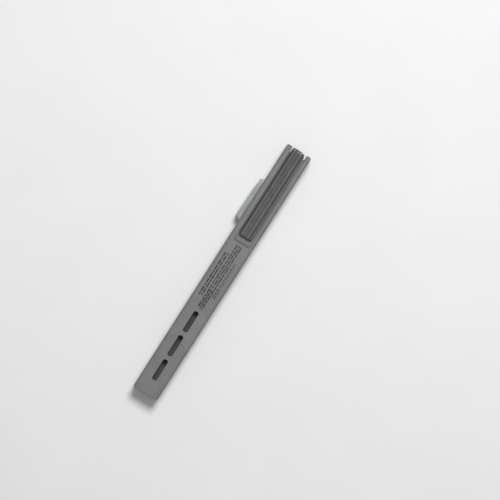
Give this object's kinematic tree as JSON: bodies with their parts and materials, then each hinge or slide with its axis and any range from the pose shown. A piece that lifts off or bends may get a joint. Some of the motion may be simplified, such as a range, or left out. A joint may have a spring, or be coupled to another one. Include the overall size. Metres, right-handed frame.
{
  "type": "eraser holder",
  "caption": "Slim flat eraser holder with a stepped slide: ribbed thumb pad on its side, pocket clip in a channel, small windows near the tip and a refillable flat eraser inside.",
  "frame": {"origin": "centre of the barrel's flat back face, the face opposite the clip, which is also the face it lies on", "axes": "+X along the barrel from the tail ears to the mouth, the way the eraser advances; +Z out of the clip and window face; the thumb pad stands on the -Y side"},
  "size_m": [0.116, 0.0137, 0.009],
  "materials": {
    "shell_plastic": "moulded mid-grey plastic with a fine satin texture",
    "tray_plastic": "moulded mid-grey plastic, a shade darker, satin",
    "plug_plastic": "moulded dark grey plastic, plain",
    "clip_plastic": "moulded dark grey plastic, satin, a little smoother than the shell",
    "carrier_plastic": "translucent blue-grey plastic, smooth",
    "spring_steel": "rolled spring steel strip",
    "pad_plastic": "translucent blue-grey plastic with finger grooves",
    "pawl_plastic": "natural acetal, slightly waxy",
    "eraser_rubber": "dark grey abrasive rubber, dull and slightly grainy"
  },
  "bodies": {
    "barrel": {"front_shell": "shell_plastic", "rear_shell": "tray_plastic", "tail_plug": "plug_plastic"},
    "clip": {"pocket_clip": "clip_plastic"},
    "carriage": {"eraser_carrier": "carrier_plastic", "leaf_spring": "spring_steel"},
    "button": {"thumb_pad": "pad_plastic", "pawl_block": "pawl_plastic", "click_finger": "spring_steel"},
    "refill": {"eraser": "eraser_rubber"}
  },
  "joints": [
    {"name": "carriage_slide", "type": "slide", "parent": "barrel", "child": "carriage", "axis": [1, 0, 0], "range_m": [0, 0.06], "deforming": ["click_finger"]},
    {"name": "button_press", "type": "slide", "parent": "carriage", "child": "button", "axis": [0, 1, 0], "range_m": [0, 0.0005], "stiffness_N_per_m": 1000, "springref_m": -0.001, "deforming": ["leaf_spring"]},
    {"name": "clip_flex", "type": "hinge", "parent": "barrel", "child": "clip", "pos_m": [-0.05709, 0, 0.00809], "axis": [0, -1, 0], "range_deg": [0, 4], "stiffness_Nm_per_rad": 1, "springref_deg": -1.15},
    {"name": "eraser_pull", "type": "slide", "parent": "carriage", "child": "refill", "axis": [1, 0, 0], "range_m": [0, 0.08]}
  ]
}
